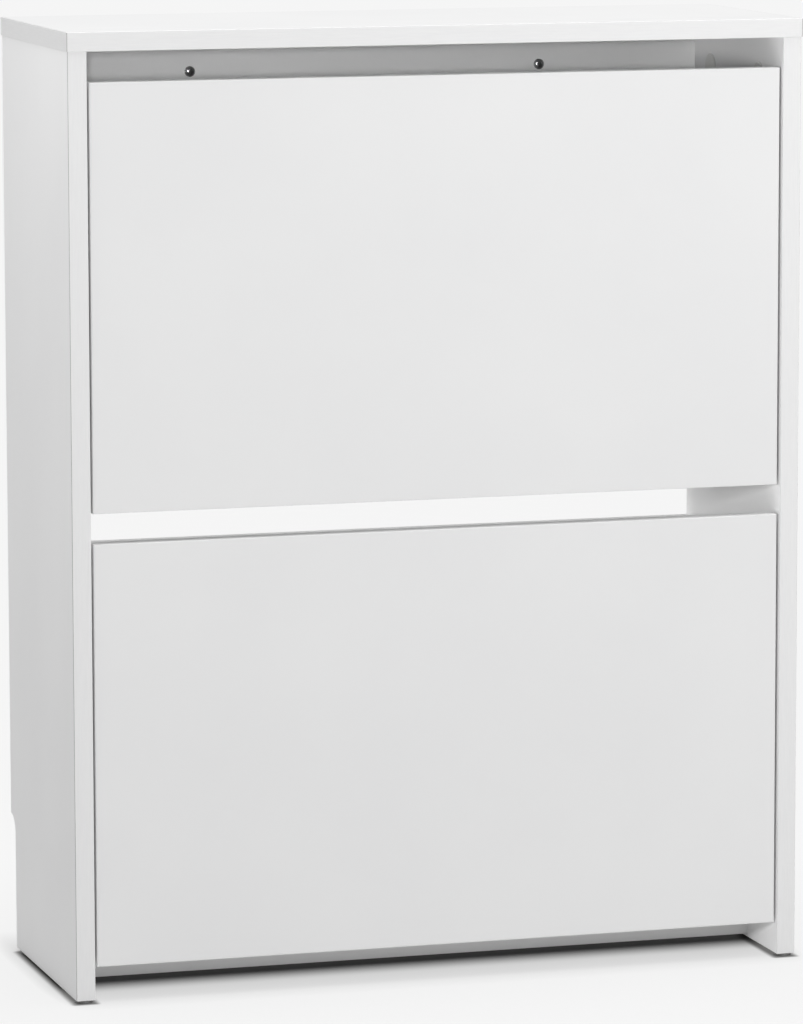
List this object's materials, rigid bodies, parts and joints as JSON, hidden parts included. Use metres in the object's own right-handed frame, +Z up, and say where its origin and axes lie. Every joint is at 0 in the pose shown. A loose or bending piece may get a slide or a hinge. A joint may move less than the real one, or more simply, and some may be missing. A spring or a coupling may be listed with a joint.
{
  "type": "shoe cabinet",
  "caption": "Slim free-standing shoe cabinet: tilting front flaps one above the other, with shoe trays behind them, between side panels under a flat top board.",
  "frame": {"origin": "on the floor, under the middle of the top board", "axes": "+Z up, +X to the right of somebody facing the flaps, +Y from the flaps to the wall"},
  "size_m": [0.6, 0.225, 0.76],
  "materials": {
    "melamine_board": "white melamine facing on chipboard, satin",
    "edging": "white edging band, satin",
    "thin_board": "white lacquered hardboard, satin",
    "white_plastic": "moulded white plastic, fine texture",
    "grey_plastic": "moulded grey plastic",
    "natural_plastic": "natural moulded plastic",
    "plated_steel": "zinc plated",
    "cast_zinc": "die cast zinc",
    "dark_steel": "dark plated steel",
    "rubber": "soft black rubber",
    "beech": "fluted beech dowel"
  },
  "bodies": {
    "cabinet": {"left_side_panel": "melamine_board", "right_side_panel": "melamine_board", "top_board": "melamine_board", "upper_back_rail": "melamine_board", "middle_back_rail": "melamine_board", "plinth_rail": "melamine_board", "left_side_edging": "edging", "right_side_edging": "edging", "top_board_edging": "edging", "foot_glides": "grey_plastic", "foot_glide_nails": "plated_steel", "top_cam_locks": "cast_zinc", "top_cam_bolts": "plated_steel", "top_cam_covers": "white_plastic", "top_dowels": "beech", "rail_cam_locks": "cast_zinc", "rail_cam_bolts": "plated_steel", "rail_dowels": "beech", "wall_screws": "dark_steel", "wall_screw_washers": "dark_steel", "bracket_screws": "plated_steel", "pivot_pins": "plated_steel", "stop_pins": "plated_steel", "stop_sleeves": "rubber", "upper_left_bracket": "white_plastic", "upper_right_bracket": "white_plastic", "lower_left_bracket": "white_plastic", "lower_right_bracket": "white_plastic"},
    "upper_flap": {"upper_front": "melamine_board", "upper_front_edging": "edging", "upper_left_cheek": "white_plastic", "upper_right_cheek": "white_plastic", "upper_tray_floor": "thin_board", "upper_tray_divider": "thin_board", "upper_tray_back": "thin_board", "upper_cheek_screws": "plated_steel", "upper_pivot_bushes": "natural_plastic"},
    "lower_flap": {"lower_front": "melamine_board", "lower_front_edging": "edging", "lower_left_cheek": "white_plastic", "lower_right_cheek": "white_plastic", "lower_tray_floor": "thin_board", "lower_tray_divider": "thin_board", "lower_tray_back": "thin_board", "lower_cheek_screws": "plated_steel", "lower_pivot_bushes": "natural_plastic"}
  },
  "joints": [
    {"name": "upper_flap_tilt", "type": "hinge", "parent": "cabinet", "child": "upper_flap", "pos_m": [0, -0.0855, 0.402], "axis": [1, 0, 0], "range_deg": [0, 36]},
    {"name": "lower_flap_tilt", "type": "hinge", "parent": "cabinet", "child": "lower_flap", "pos_m": [0, -0.0855, 0.044], "axis": [1, 0, 0], "range_deg": [0, 36]}
  ]
}
